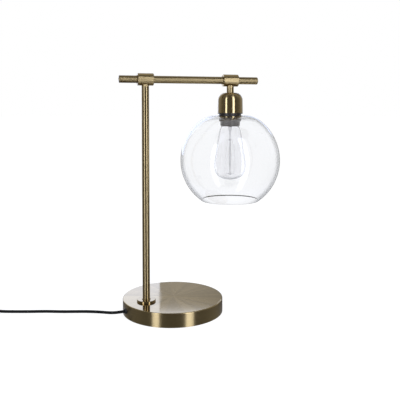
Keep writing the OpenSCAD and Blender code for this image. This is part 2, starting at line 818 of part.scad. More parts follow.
// The same path, moved to one side of itself
function beside(path, start, side) = let (normals = swept_normals(path, start))
    [for (i = [0 : len(path) - 1]) path[i] + side * normals[i]];

// Share of the way to the post, and height above the bottom plate
lead_dips = [[0.13, 5.6], [0.4, 3.2], [0.74, 2.5], [0.96, 3.2], [1, 6.2]];

lower_lead_path = concat(smooth_path(concat([exit_point(cord_start - 0.1, exit_z),
    exit_point(cord_start - 3.5, exit_z),
    exit_point(lead_turn_x + 0.8, exit_z - 0.9)], [for (p = lead_dips) toward_post(p[0], z_plate_top + p[1])],
    [[post_x, post_y, z_weight], [post_x, post_y, z_weight + 5]]), 3), [[post_x, post_y, z_lead_split]]);

module lower_leads() {
    across = [-sin(exit_angle), cos(exit_angle), 0];
    color(lead_colour) for (side = [-lead_side, lead_side])
        tube(beside(lower_lead_path, across, side), lead_d, lead_sides, across);
}

// The bend from the pin up into the bar, seen from the side, at a distance from the pin's axis
lead_bend = [[0, -14], [0, -8.5], [1.6, -3], [6.5, 0.6], [13, 1]];

function bend_points(x, way) = smooth_path([for (p = lead_bend) [x + way * p[0], post_y, z_bar + p[1]]], 3);

function terminal_tail(side) = smooth_path([for (p = [[lead_side, 2], [lead_side + 0.1, -2], [3.2, -3.9], [7,
    -4.2],
    [terminal_y, -5.6], [terminal_y, z_terminal - z_holder_roof + fit]])
    [head_x, post_y + side * p[0], z_holder_roof + p[1]]], 3);

upper_lead_path = concat([[post_x, post_y, z_lead_split + seat_gap]], bend_points(post_x, 1),
    reversed(bend_points(head_x, -1)));

module upper_leads() {
    across = [0, 1, 0];
    color(lead_colour) for (side = [-1, 1])
        tube(concat(beside(upper_lead_path, across, side * lead_side), terminal_tail(side)), lead_d,
            lead_sides,
            across);
}

// Cord: from the clamp in the base it leaves through the grommet, bends off as it sinks to the table and runs on

cord_r = cord_d / 2;
cord_sides = 10;
cord_steps = 2;
cord_line_angle = 165;
cord_line_aside = 31.9;
bend_reach = base_d / 2 + 9;
switch_at = 290;
switch_nose = 8;
switch_split = 5;
switch_cord_in = 17;
switch_rise_from = 57;
switch_rise_to = 45;

cord_line_start = exit_point(bend_reach, 0) + cord_line_aside * [sin(cord_line_angle), -cos(cord_line_angle),
    0];

// A point beside the cord's straight stretch: along it from where the cord bends off, aside, and above the table
function line_point(along, aside,
    z) = cord_line_start + [along * cos(cord_line_angle) - aside * sin(cord_line_angle),
    along * sin(cord_line_angle) + aside * cos(cord_line_angle), z];

function on_line(path) = [for (p = path) line_point(p[0], p[1], p[2])];

switch_front = switch_at - switch_len / 2 - switch_nose;
switch_back = switch_at + switch_len / 2 + switch_nose;

// Along, aside and share of the exit's height while the cord bends off and sinks
cord_bend = [[6.6, 34.2, 0.985], [13.6, 34.7, 0.943], [20.5, 33.2, 0.881], [26.7, 30, 0.801], [40.4, 20.4,
    0.566],
    [54.1, 10.8, 0.313], [70.5, 2.8, 0.092], [88.5, 0, 0], [120, 0.6, 0], [155, -0.8, 0], [195, 0.4, 0]];

cord_route = concat([exit_point(cord_start, exit_z), exit_point(base_d / 2 - 10, exit_z),
    exit_point(base_d / 2 + 2, exit_z), exit_point(bend_reach, exit_z)],
    [for (p = cord_bend) line_point(p[0], p[1], cord_r + p[2] * (exit_z - cord_r))],
    on_line([[switch_at - switch_rise_from, 0, cord_r], [switch_at - switch_rise_to, 0, cord_r + 0.6],
        [switch_front - 4, 0, switch_split], [switch_front + 2, 0, switch_split],
        [switch_at - switch_cord_in, 0, switch_split]]));

module cord_run() {
    color(black) tube(smooth_path(cord_route, cord_steps), cord_d, cord_sides);
}

coil_start = 353;
coil_lift = 0.7;
coil_pitch = cord_d + coil_gap;
coil_inner_r = coil_mid_d / 2 - coil_pitch * coil_turns / 4;
coil_outer_r = coil_inner_r + coil_pitch * coil_turns / 2;
coil_rings = 24;
coil_sides = 6;
z_coil = coil_lift + cord_r;
plug_sleeve = 20;
plug_axis_z = plug_h / 2;
coil_way_out = 40;

// Height of the coil at a count of turns: it climbs one layer in the half turn where the spiral reverses
function coil_z(turn) = let (climb = min(max(2 * (turn - coil_turns / 2) + 0.5, 0), 1))
    z_coil + coil_pitch * (1 - cos(180 * climb)) / 2;

coil_loops = [for (i = [0 : coil_rings * coil_turns]) let (turn = i / coil_rings,
    r = coil_inner_r + coil_pitch * abs(turn - coil_turns / 2), angle = 360 * turn - 90)
    [coil_start + r * cos(angle), coil_outer_r + r * sin(angle), coil_z(turn)]];

coil_end = 2 * coil_outer_r;
z_coil_top = z_coil + coil_pitch;
coil_path = on_line(concat([[coil_start - 2 * cord_d, 0, z_coil], [coil_start - cord_d, 0, z_coil]],
    coil_loops,
    [[coil_start - 7, coil_end, z_coil_top], [coil_start - 14, coil_end, z_coil_top - 0.3],
    [coil_start - 24, coil_end, plug_axis_z + 0.3], [coil_start - coil_way_out + cord_d, coil_end,
        plug_axis_z],
    [coil_start - coil_way_out, coil_end, plug_axis_z]]));

// The least gap between one turn of the coil and another, on its own points
coil_least_gap = min([for (i = [0 : len(coil_path) - 1]) for (j = [i + coil_rings / 2 : 1 : len(coil_path) - 1])
    norm(coil_path[i] - coil_path[j])]) - cord_d;
echo(coil_least_gap = coil_least_gap);

module cord_coil() {
    color(black) tube(coil_path, cord_d, coil_sides);
}

cord_tail_path = on_line([[switch_at + switch_cord_in, 0, switch_split], [switch_back - 2, 0, switch_split],
    [switch_back + 4, 0, switch_split], [coil_start - 3.5 * cord_d, 0, z_coil], [coil_start - 2 * cord_d, 0,
        z_coil]]);

module cord_tail() {
    color(black) tube(smooth_path(cord_tail_path, 3), cord_d, cord_sides);
}

echo(cord_length = path_length(smooth_path(cord_route, cord_steps)) + path_length(coil_path)
    + path_length(smooth_path(cord_tail_path, 3)) + 2 * switch_cord_in);

module at_line(along, aside = 0) {
    translate(line_point(along, aside, 0)) rotate([0, 0, cord_line_angle]) children();
}

tie_t = 0.6;
tie_w = 6;

// The tie lies round all the turns on the side of the coil that faces the switch
module cord_tie() {
    inner_r = coil_inner_r + coil_pitch / 2 - cord_r - 0.5;
    outer_r = coil_inner_r + coil_pitch * (coil_turns / 2 - 0.75) + cord_r + 0.1;
    low = coil_lift - 0.1;
    high = z_coil_top + cord_r + 0.1;
    color(black) at_line(coil_start, coil_outer_r) translate([-outer_r, tie_w / 2, low]) rotate([90, 0, 0])
        difference() {
            translate([-tie_t, -tie_t, 0]) cube([outer_r - inner_r + 2 * tie_t, high - low + 2 * tie_t,
                tie_w]);
            translate([0, 0, -overlap]) cube([outer_r - inner_r, high - low, tie_w + 2 * overlap]);
        }
}

// Switch on the cord: its two housings meet at the height of the cord's axis

switch_wall = 1.5;
switch_corner = 8;
nose_r = switch_split;
rocker_axis_z = switch_h - 3.4;
rocker_len = 15.6;
rocker_w = 9.2;
rocker_tilt = 10;
rocker_pin_r = 1.2;
rocker_pin_reach = 1.8;
window_gap = 0.7;
ear_wall = 1.3;
ear_t = 2.4;
post_at = [14, 7];
post_r = 3;
case_screw_r = 1.25;
case_screw_head_r = 2.2;
case_screw_len = 9;
blade_t = 1;
block_w = 7;

function case_outline(inset) = let (r = switch_corner - inset, x = switch_len / 2 - inset,
    y = switch_w / 2 - inset)
    concat(arc([x - r, y - r], r, 0, 90, 6), arc([r - x, y - r], r, 90, 180, 6), arc([r - x, r - y], r, 180,
        270, 6),
        arc([x - r, r - y], r, 270, 360, 6));

module at_switch() {
    at_line(switch_at) children();
}

// The round nose and the cord's bore at both ends of a housing
module nose_bars(r, reach) {
    for (side = [-1, 1]) translate([side * (switch_len / 2 - reach), 0, switch_split])
        rotate([0, side * 90, 0])
        cylinder(r = r, h = switch_nose + reach);
}

module case_posts(r, low, high) {
    for (side = [-1, 1]) translate([side * post_at[0], side * post_at[1], low])
        cylinder(r = r, h = high - low);
}

module switch_lower_housing() {
    color(black) at_switch() difference() {
        union() {
            difference() {
                linear_extrude(switch_split) polygon(case_outline(0));
                translate([0, 0, switch_wall]) linear_extrude(switch_split)
                    polygon(case_outline(switch_wall));
            }
            intersection() {
                nose_bars(nose_r, switch_wall);
                translate([-switch_len, -nose_r, 0]) cube([2 * switch_len, 2 * nose_r, switch_split]);
            }
            case_posts(post_r, overlap / 2, switch_split);
        }
        nose_bars(cord_hole_r, switch_wall + overlap);
        nose_bars(cord_hole_r, -switch_nose / 2);
        case_posts(case_screw_r + slip, -overlap, switch_split + overlap);
        case_posts(case_screw_head_r + slip, -overlap, 2);
    }
}

module rocker_window() {
    translate([-rocker_len / 2 - window_gap, -rocker_w / 2 - seat_gap, switch_split])
        cube([rocker_len + 2 * window_gap, rocker_w + 2 * seat_gap, switch_h]);
}

module switch_upper_housing() {
    ear_y = rocker_w / 2 + seat_gap;
    color(black) at_switch() difference() {
        union() {
            difference() {
                union() {
                    translate([0, 0, switch_split]) linear_extrude(switch_h - switch_split - 1)
                        polygon(case_outline(0));
                    translate([0, 0, switch_h - 1]) linear_extrude(0.5) polygon(case_outline(0.4));
                    translate([0, 0, switch_h - 0.5]) linear_extrude(0.5) polygon(case_outline(1));
                }
                translate([0, 0, switch_split - overlap])
                    linear_extrude(switch_h - switch_split - switch_wall + overlap)
                    polygon(case_outline(switch_wall));
            }
            intersection() {
                nose_bars(nose_r, switch_wall);
                translate([-switch_len, -nose_r, switch_split])
                    cube([2 * switch_len, 2 * nose_r, switch_split]);
            }
            case_posts(post_r, switch_split, switch_h - overlap);
            for (side = [-1, 1]) translate([-rocker_pin_r - ear_wall, side * (ear_y + ear_t / 2) - ear_t / 2,
                rocker_axis_z - rocker_pin_r - ear_wall])
                cube([2 * (rocker_pin_r + ear_wall), ear_t, switch_h - rocker_axis_z + rocker_pin_r]);
        }
        rocker_window();
        nose_bars(cord_hole_r, switch_wall + overlap);
        translate([0, rocker_w / 2 + seat_gap + ear_t + overlap, rocker_axis_z]) rotate([90, 0, 0])
            cylinder(r = rocker_pin_r + fit, h = rocker_w + 2 * (seat_gap + ear_t + overlap));
        case_posts(case_screw_r + fit, switch_split - overlap, 2 + case_screw_len + 0.5);
    }
}

module switch_screws() {
    color(steel) at_switch() {
        case_posts(case_screw_head_r, 0.6, 2);
        case_posts(case_screw_r, 1.8, 2 + case_screw_len);
    }
}

// Brass blocks that hold the cord's two ends, each with a contact tongue under the blade
module switch_terminals() {
    color(raw_brass) at_switch() for (side = [-1, 1]) rotate([0, 0, 90 - 90 * side]) {
        translate([10, -block_w / 2, switch_wall]) cube([switch_cord_in - seat_gap - 10, block_w, 6]);
        translate([2.5, -2, switch_wall]) cube([8.5, 4, 3]);
    }
}

module at_rocker() {
    at_switch() translate([0, 0, rocker_axis_z]) rotate([0, rocker_tilt, 0]) children();
}

module switch_rocker() {
    half = rocker_len / 2;
    color(black) at_rocker() {
        translate([0, rocker_w / 2, 0]) rotate([90, 0, 0]) linear_extrude(rocker_w)
            polygon([[-3, -3.2], [3, -3.2], [half, 1], [half, 3.2], [0, 4.6], [-half, 3.2], [-half, 1]]);
        translate([0, rocker_w / 2 + rocker_pin_reach, 0]) rotate([90, 0, 0])
            cylinder(r = rocker_pin_r, h = rocker_w + 2 * rocker_pin_reach);
    }
}

module switch_blade() {
    color(raw_brass) at_rocker() translate([-4.5, -2, -3.2 - blade_t]) cube([9, 4, blade_t]);
}

// Plug at the cord's far end, lying flat beside the coil

plug_front = coil_start - coil_way_out - plug_sleeve - plug_len;
plug_nose_w = 12;
pin_d = 4;
pin_spacing = 18.6;
pin_len = 19;
pin_seat = 6;

module at_plug() {
    at_line(plug_front, coil_end) translate([0, 0, plug_axis_z]) children();
}

module plug_body() {
    round_r = 3;
    color(black) at_plug() difference() {
        union() {
            hull() for (y = [-1, 1], z = [-1, 1]) {
                translate([0, y * (plug_w / 2 - round_r), z * (plug_h / 2 - round_r)]) rotate([0, 90, 0])
                    cylinder(r = round_r, h = plug_len * 0.6, $fn = 32);
                translate([0, y * (plug_nose_w / 2 - round_r), z * (plug_h / 2 - round_r - 0.6)])
                    rotate([0, 90, 0])
                    cylinder(r = round_r, h = plug_len, $fn = 32);
            }
            translate([plug_len - overlap, 0, 0]) rotate([0, 90, 0])
                cylinder(r1 = 5.2, r2 = cord_r + 0.8, h = plug_sleeve + overlap);
        }
        for (side = [-1, 1]) translate([-overlap, side * pin_spacing / 2, 0]) rotate([0, 90, 0])
            cylinder(r = pin_d / 2 + fit, h = pin_seat + overlap);
    }
}

module plug_pins() {
    color(steel) at_plug() for (side = [-1, 1]) translate([pin_seat, side * pin_spacing / 2, 0])
        rotate([0, -90, 0])
        rotate_extrude() polygon([[0, 0], [pin_d / 2, 0], [pin_d / 2, pin_seat + pin_len - 1.5],
            [pin_d / 2 - 1, pin_seat + pin_len], [0, pin_seat + pin_len]]);
}

felt_pad();
bottom_plate();
plate_screws();
base_weight();
base_cover();
cord_grommet();
cord_clamp();
clamp_screws();
base_washer();
base_nut();
base_nipple();
post_foot();
post_foot_bush();
post_tube();
post_top_bush();
swivel_spring_washer();
swivel_friction_washer();
lower_leads();
swivel_pin();
post_sleeve();
crossbar();
rear_end_cap();
front_end_cap();
head_sleeve();
head_nipple();
head_stem();
lampholder_cup();
cup_nut();
lampholder_body();
lampholder_shell();
lampholder_terminals();
lampholder_contact();
shade_ring();
glass_shade();
upper_leads();
bulb_tip_contact();
bulb_insulator();
bulb_cap();
bulb_glass();
bulb_mount();
bulb_filament();
cord_run();
switch_lower_housing();
switch_upper_housing();
switch_screws();
switch_terminals();
switch_rocker();
switch_blade();
cord_tail();
cord_coil();
cord_tie();
plug_body();
plug_pins();
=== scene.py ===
import math

import bpy
import bmesh
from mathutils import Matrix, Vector


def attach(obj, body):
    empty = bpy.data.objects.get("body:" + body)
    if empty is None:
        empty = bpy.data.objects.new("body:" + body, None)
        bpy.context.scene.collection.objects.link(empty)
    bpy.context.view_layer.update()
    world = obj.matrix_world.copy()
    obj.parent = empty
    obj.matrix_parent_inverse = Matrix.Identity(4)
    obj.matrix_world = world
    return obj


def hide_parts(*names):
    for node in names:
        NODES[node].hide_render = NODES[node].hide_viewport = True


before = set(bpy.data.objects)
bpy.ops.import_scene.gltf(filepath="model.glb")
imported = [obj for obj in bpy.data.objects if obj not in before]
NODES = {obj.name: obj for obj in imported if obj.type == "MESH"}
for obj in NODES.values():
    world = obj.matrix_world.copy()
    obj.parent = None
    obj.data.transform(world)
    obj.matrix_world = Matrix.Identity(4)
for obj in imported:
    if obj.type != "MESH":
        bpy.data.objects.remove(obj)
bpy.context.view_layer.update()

# Sizes in metres, as in the part's own source
POST_R = 0.058
POST_ANGLE = math.radians(194)
ARM_REACH = 0.172
POST = Vector((POST_R * math.cos(POST_ANGLE), POST_R * math.sin(POST_ANGLE), 0))
HEAD = POST + Vector((ARM_REACH, 0, 0))
Z_BAR = 0.462
Z_GLOBE = 0.302
Z_CAP_LOW = 0.381
CORD_D = 0.0056


# The camera stands a little left of the bar's middle and looks slightly down

CAMERA_PLACE = (-0.2423, -1.1162, 0.40075)
CAMERA_TILT = math.radians(87)
CAMERA_TURN = math.radians(15)


def add_camera():
    data = bpy.data.cameras.new("photo_camera")
    data.sensor_width = 36.0
    data.lens = 51.705
    data.shift_y = -0.1469
    data.clip_start = 0.05
    data.clip_end = 50.0
    camera = bpy.data.objects.new("photo_camera", data)
    camera.location = CAMERA_PLACE
    camera.rotation_euler = (CAMERA_TILT, 0, -CAMERA_TURN)
    bpy.context.scene.collection.objects.link(camera)
    bpy.context.scene.camera = camera


def from_camera_side(right, away, up):
    """A place given to the right of and beyond the base's middle, as the camera sees it."""
    c, s = math.cos(CAMERA_TURN), math.sin(CAMERA_TURN)
    return (right * c + away * s, -right * s + away * c, up)


add_camera()


# Small helpers for building meshes

def arc(cx, cy, r, start, end, steps):
    """Points on an arc, in degrees, both ends included."""
    angles = [math.radians(start + (end - start) * i / steps) for i in range(steps + 1)]
    return [(cx + r * math.cos(a), cy + r * math.sin(a)) for a in angles]


def turned(name, outline, centre, steps, sharp_above=60):
    """A piece turned on a lathe: a closed outline of (radius, height) points, spun round its upright axis."""
    bpy.ops.object.select_all(action="DESELECT")
    bpy.ops.mesh.primitive_circle_add(vertices=len(outline), location=(0, 0, 0))
    piece = bpy.context.object
    piece.name = name
    for vertex, (radius, height) in zip(piece.data.vertices, outline):
        vertex.co = (radius, 0, height)
    bpy.ops.object.mode_set(mode="EDIT")
    bpy.ops.mesh.select_all(action="SELECT")
    bpy.ops.mesh.spin(steps=steps, angle=2 * math.pi, center=(0, 0, 0), axis=(0, 0, 1))
    bpy.ops.mesh.select_all(action="SELECT")
    bpy.ops.mesh.remove_doubles(threshold=1e-6)
    bpy.ops.mesh.dissolve_degenerate(threshold=1e-7)
    bpy.ops.mesh.normals_make_consistent(inside=False)
    bpy.ops.object.mode_set(mode="OBJECT")
    piece.location = centre
    bpy.ops.object.transform_apply(location=True, rotation=True, scale=True)
    bpy.ops.object.shade_smooth_by_angle(angle=math.radians(sharp_above))
    return piece


def spline_point(a, b, c, d, t):
    """A point on the smooth curve from b to c, between their neighbours a and d."""
    return 0.5 * (2 * b + (c - a) * t + (2 * a - 5 * b + 4 * c - d) * t * t
                  + (3 * b - a - 3 * c + d) * t ** 3)


def smooth_path(points, steps):
    """A smooth path through all the points, with some steps for each stretch."""
    points = [Vector(p) for p in points]
    last = len(points) - 1
    path = []
    for i in range(last):
        a, b, c, d = points[max(i - 1, 0)], points[i], points[i + 1], points[min(i + 2, last)]
        path += [spline_point(a, b, c, d, k / steps) for k in range(steps)]
    return path + [points[last]]


def swept_tube(name, path, radius, sides):
    """A round tube along a path, with flat ends and a UV map: turns round the tube and metres along it."""
    mesh = bmesh.new()
    uv = mesh.loops.layers.uv.new("along")
    turns = [2 * math.pi * k / sides for k in range(sides)]
    normal = Vector((0, 0, 1))
    rings = []
    marks = [0.0]
    for i, point in enumerate(path):
        ahead = (path[min(i + 1, len(path) - 1)] - path[max(i - 1, 0)]).normalized()
        normal = (normal - ahead * normal.dot(ahead)).normalized()
        side = ahead.cross(normal)
        rings.append([mesh.verts.new(point + radius * (math.cos(t) * normal + math.sin(t) * side))
                      for t in turns])
        if i:
            marks.append(marks[-1] + (point - path[i - 1]).length)
    for i in range(len(rings) - 1):
        for k in range(sides):
            n = (k + 1) % sides
            face = mesh.faces.new((rings[i][k], rings[i][n], rings[i + 1][n], rings[i + 1][k]))
            face.smooth = True
            corners = ((k, i), (k + 1, i), (k + 1, i + 1), (k, i + 1))
            for loop, (turn, row) in zip(face.loops, corners):
                loop[uv].uv = (turn / sides, marks[row])
    mesh.faces.new(list(reversed(rings[0])))
    mesh.faces.new(rings[-1])
    data = bpy.data.meshes.new(name)
    mesh.to_mesh(data)
    mesh.free()
    piece = bpy.data.objects.new(name, data)
    bpy.context.scene.collection.objects.link(piece)
    return piece


# Cord: the route's points are those of the part's source, in metres

EXIT_ANGLE = math.radians(192)
EXIT_Z = 0.0134
CORD_START = 0.079
BEND_REACH = 0.109
LINE_ANGLE = math.radians(165)
LINE_ASIDE = 0.0319
SWITCH_AT = 0.290
SWITCH_LEN = 0.042
SWITCH_NOSE = 0.008
SWITCH_SPLIT = 0.005
SWITCH_CORD_IN = 0.017
COIL_START = 0.353
COIL_GAP = 0.0005
COIL_TURNS = 6.5
COIL_RING_POINTS = 48
COIL_MID_D = 0.067
COIL_LIFT = 0.0007
COIL_WAY_OUT = 0.040
PLUG_AXIS_Z = 0.0069
TABLE_Z = CORD_D / 2

# Along, aside and share of the exit's height while the cord bends off and sinks to the table
CORD_BEND = [(0.0066, 0.0342, 0.985), (0.0136, 0.0347, 0.943), (0.0205, 0.0332, 0.881),
             (0.0267, 0.030, 0.801), (0.0404, 0.0204, 0.566), (0.0541, 0.0108, 0.313),
             (0.0705, 0.0028, 0.092), (0.0885, 0, 0), (0.120, 0.0006, 0), (0.155, -0.0008, 0),
             (0.195, 0.0004, 0)]


def exit_point(r, z):
    return Vector((r * math.cos(EXIT_ANGLE), r * math.sin(EXIT_ANGLE), z))


def on_line(along, aside, z):
    """A point given along and beside the straight line that the cord, the switch and the plug lie on."""
    c, s = math.cos(LINE_ANGLE), math.sin(LINE_ANGLE)
    start = exit_point(BEND_REACH, 0) + LINE_ASIDE * Vector((s, -c, 0))
    return start + Vector((along * c - aside * s, along * s + aside * c, z))


def straight(heights):
    """Points on the line itself, from pairs of the way along and the height."""
    return [on_line(along, 0, z) for along, z in heights]


def cord_run_path():
    """From the strain relief in the base, down to the table and up again into the switch."""
    front = SWITCH_AT - SWITCH_LEN / 2 - SWITCH_NOSE
    route = [exit_point(r, EXIT_Z) for r in (CORD_START, 0.090, 0.102, BEND_REACH)]
    route += [on_line(along, aside, TABLE_Z + share * (EXIT_Z - TABLE_Z))
              for along, aside, share in CORD_BEND]
    route += straight([(SWITCH_AT - 0.057, TABLE_Z), (SWITCH_AT - 0.045, TABLE_Z + 0.0006),
                       (front - 0.004, SWITCH_SPLIT), (front + 0.002, SWITCH_SPLIT),
                       (SWITCH_AT - SWITCH_CORD_IN, SWITCH_SPLIT)])
    return smooth_path(route, steps=6)


def coil_path():
    """From the switch to the plug: the tail, the coil's turns in two layers, and the way out to the plug."""
    pitch = CORD_D + COIL_GAP
    z_low = COIL_LIFT + TABLE_Z
    inner = COIL_MID_D / 2 - pitch * COIL_TURNS / 4
    outer = inner + pitch * COIL_TURNS / 2
    back = SWITCH_AT + SWITCH_LEN / 2 + SWITCH_NOSE
    tail = straight([(SWITCH_AT + SWITCH_CORD_IN, SWITCH_SPLIT), (back - 0.002, SWITCH_SPLIT),
                     (back + 0.004, SWITCH_SPLIT), (COIL_START - 3.5 * CORD_D, z_low),
                     (COIL_START - 2 * CORD_D, z_low)])
    path = smooth_path(tail, steps=5) + straight([(COIL_START - CORD_D, z_low)])
    for i in range(int(COIL_RING_POINTS * COIL_TURNS) + 1):
        turn = i / COIL_RING_POINTS
        r = inner + pitch * abs(turn - COIL_TURNS / 2)
        angle = 2 * math.pi * turn - math.pi / 2
        climb = min(max(2 * (turn - COIL_TURNS / 2) + 0.5, 0), 1)
        z = z_low + pitch * (1 - math.cos(math.pi * climb)) / 2
        path.append(on_line(COIL_START + r * math.cos(angle), outer + r * math.sin(angle), z))
    top = z_low + pitch
    way_out = [on_line(COIL_START - back_off, 2 * outer, z)
               for back_off, z in ((0.007, top), (0.014, top - 0.0003), (0.024, PLUG_AXIS_Z + 0.0003),
                                   (COIL_WAY_OUT - CORD_D, PLUG_AXIS_Z), (COIL_WAY_OUT, PLUG_AXIS_Z))]
    return path + smooth_path(way_out, steps=4)


run_path = cord_run_path()
rest_path = coil_path()
cord_near = swept_tube("braided_cord", run_path, CORD_D / 2, sides=20)
cord_far = swept_tube("braided_cord_coiled", rest_path, CORD_D / 2, sides=16)
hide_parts("cord_run")
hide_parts("cord_tail", "cord_coil")
for piece in (cord_near, cord_far):
    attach(piece, "base")


# Materials

class Nodes:
    """Short ways to add nodes to a tree."""

    def __init__(self, tree):
        self.tree = tree

    def add(self, kind, inputs=None, **settings):
        """A node with its settings, and its inputs by name or number: each a value or a socket to link."""
        node = self.tree.nodes.new(kind)
        for key, value in settings.items():
            setattr(node, key, value)
        for key, value in (inputs or {}).items():
            if isinstance(value, bpy.types.NodeSocket):
                self.link(value, node.inputs[key])
            else:
                node.inputs[key].default_value = value
        return node

    def link(self, source, target):
        self.tree.links.new(source, target)

    def value(self, operation, *items):
        """A Math node on one or two numbers or sockets."""
        return self.add("ShaderNodeMath", dict(enumerate(items)), operation=operation).outputs[0]

    def vector(self, operation, *vectors, **inputs):
        """The outputs of a Vector Math node on one or two vectors, with other inputs by name."""
        inputs.update(enumerate(vectors))
        return self.add("ShaderNodeVectorMath", inputs, operation=operation).outputs

    def span(self, source, low, high, start=0.0, end=1.0):
        """Maps start to end onto low to high, and goes no further."""
        limits = {"From Min": start, "From Max": end, "To Min": low, "To Max": high}
        return self.add("ShaderNodeMapRange", {"Value": source, **limits}).outputs["Result"]

    def ramp(self, source, stops):
        """A Color Ramp with (place, colour) stops."""
        node = self.add("ShaderNodeValToRGB", {0: source})
        elements = node.color_ramp.elements
        while len(elements) < len(stops):
            elements.new(1.0)
        for element, (place, colour) in zip(elements, stops):
            element.position = place
            element.color = (*colour, 1)
        return node.outputs[0]

    def noise(self, vector, scale, detail=2.0, roughness=0.5):
        inputs = {"Vector": vector, "Scale": scale, "Detail": detail, "Roughness": roughness}
        return self.add("ShaderNodeTexNoise", inputs).outputs["Fac"]

    def seen_and_mirrored(self):
        """1 for what is seen directly or through glass, and 1 for what a shiny surface mirrors.

        A ray that glass bends counts as glossy too, so glossy alone doesn't tell a mirrored ray.
        """
        rays = self.add("ShaderNodeLightPath").outputs
        seen = self.value("MAXIMUM", rays["Is Camera Ray"], rays["Is Transmission Ray"])
        return seen, self.value("GREATER_THAN", rays["Is Glossy Ray"], rays["Is Transmission Ray"])


class Material(Nodes):
    """A new material, and short ways to fill its shader."""

    def __init__(self, name):
        self.material = bpy.data.materials.new(name)
        self.material.use_nodes = True
        super().__init__(self.material.node_tree)
        self.shader = self.tree.nodes["Principled BSDF"]
        self.out = self.tree.nodes["Material Output"]

    def place(self, centre=(0, 0, 0), rotation=(0, 0, 0)):
        """Object coordinates, moved and turned so that the given place is the pattern's centre."""
        where = self.add("ShaderNodeTexCoord").outputs["Object"]
        inputs = {"Vector": where, "Location": centre, "Rotation": rotation}
        return self.add("ShaderNodeMapping", inputs, vector_type="TEXTURE").outputs["Vector"]

    def set(self, **values):
        """Sets or links the shader's inputs, with _ for each space in their names."""
        for key, value in values.items():
            target = self.shader.inputs[key.replace("_", " ")]
            if isinstance(value, bpy.types.NodeSocket):
                self.link(value, target)
            else:
                target.default_value = value

    def bump(self, height, strength, distance):
        inputs = {"Strength": strength, "Distance": distance, "Height": height}
        self.set(Normal=self.add("ShaderNodeBump", inputs).outputs["Normal"])

    def finish(self, surface):
        """Puts this surface in the place of the plain shader."""
        self.link(surface, self.out.inputs["Surface"])

    def both(self, first, second):
        return self.add("ShaderNodeAddShader", {0: first, 1: second}).outputs[0]

    def choice(self, factor, first, second):
        return self.add("ShaderNodeMixShader", {"Fac": factor, 1: first, 2: second}).outputs[0]


def scaled(colour, share):
    return tuple(c * share for c in colour)


BRASS = (0.31, 0.235, 0.117)
MARKS_SHARE = 0.35  # of the fine brush marks, and of the broad streaks, in the colour's unevenness
TOP_FADE = 0.0012  # the height over which brushed turns to polished


def brushed_brass(name, centre, roughness, along_x=False, lines=0.05, painted_lightness=1.0, polished_above=None):
    """Antique brass with fine brush marks round the piece's axis, which stretch its highlights across them.

    polished_above is the height and roughness of a polished flat top, whose colour gets faint lighter and
    darker sectors round its middle: painted radial glints.
    """
    m = Material(name)
    where = m.place(centre, (0, math.radians(90), 0) if along_x else (0, 0, 0))
    parts = m.add("ShaderNodeSeparateXYZ", {0: where}).outputs
    flat = m.add("ShaderNodeCombineXYZ", {"X": parts["X"], "Y": parts["Y"]}).outputs[0]
    radius = m.vector("LENGTH", flat)["Value"]
    around = m.vector("NORMALIZE", flat)[0]
    across = m.value("ADD", radius, parts["Z"])

    def marks(turns, per_metre, detail):
        """Streaks that are long round the axis and narrow across."""
        wide = m.vector("SCALE", around, Scale=turns)[0]
        step = m.add("ShaderNodeCombineXYZ", {"Z": m.value("MULTIPLY", across, per_metre)}).outputs[0]
        return m.noise(m.vector("ADD", wide, step)[0], 1.0, detail=detail, roughness=0.6)

    brush = marks(turns=1.3, per_metre=1400.0, detail=3.0)
    streak = marks(turns=0.8, per_metre=160.0, detail=2.0)
    cloud = m.noise(where, 18.0, detail=3.0)
    mixed = m.value("ADD", m.value("MULTIPLY", m.value("ADD", brush, streak), MARKS_SHARE),
                    m.value("MULTIPLY", cloud, 1 - 2 * MARKS_SHARE))
    rough = m.span(brush, roughness * 0.96, roughness * 1.04)
    if polished_above is not None:
        height, polish = polished_above
        top = m.span(parts["Z"], 0.0, 1.0, start=height - TOP_FADE, end=height)
        rough = m.value("MULTIPLY", rough, m.span(top, 1.0, polish / roughness))
        # Faint lighter and darker sectors round the top, painted into its colour as painted radial glints.
        painted_glint_fan = m.noise(m.vector("SCALE", around, Scale=2.2)[0], 1.0, detail=4.0, roughness=0.6)
        mixed = m.value("ADD", mixed, m.value("MULTIPLY", m.span(painted_glint_fan, -1.1, 1.1), top))
    # A lightness above 1 paints the whole piece's brass lighter: painted light for pieces that catch brighter
    # highlights.
    dark, light = scaled(BRASS, painted_lightness * (1 - lines)), scaled(BRASS, painted_lightness * (1 + lines))
    tangent = m.add("ShaderNodeTangent", direction_type="RADIAL", axis="X" if along_x else "Z").outputs[0]
    m.set(Base_Color=m.ramp(mixed, [(0.35, dark), (0.65, light)]), Roughness=rough, Tangent=tangent,
          Metallic=1.0, Anisotropic=1.0, Anisotropic_Rotation=0.25)
    return m.material


def plain_metal(name, colour, roughness):
    """Turned or plated metal with a faint, fine unevenness."""
    m = Material(name)
    where = m.place()
    fine = m.noise(where, 400.0, detail=3.0)
    cloud = m.noise(where, 60.0)
    m.set(Base_Color=m.ramp(cloud, [(0.3, scaled(colour, 0.86)), (0.7, colour)]),
          Roughness=m.span(fine, roughness * 0.8, roughness * 1.25), Metallic=1.0)
    m.bump(fine, 0.08, 0.0003)
    return m.material


def moulded_plastic(name, colour, roughness, texture=900.0, depth=0.12):
    """Black moulded plastic: a fine spark-eroded texture, and slightly uneven gloss."""
    m = Material(name)
    where = m.place()
    fine = m.noise(where, texture)
    cloud = m.noise(where, 45.0)
    m.set(Base_Color=m.ramp(cloud, [(0.3, colour), (0.75, scaled(colour, 1.35))]),
          Roughness=m.span(cloud, roughness * 0.85, roughness * 1.2), Specular_IOR_Level=0.35)
    m.bump(fine, depth, 0.0002)
    return m.material


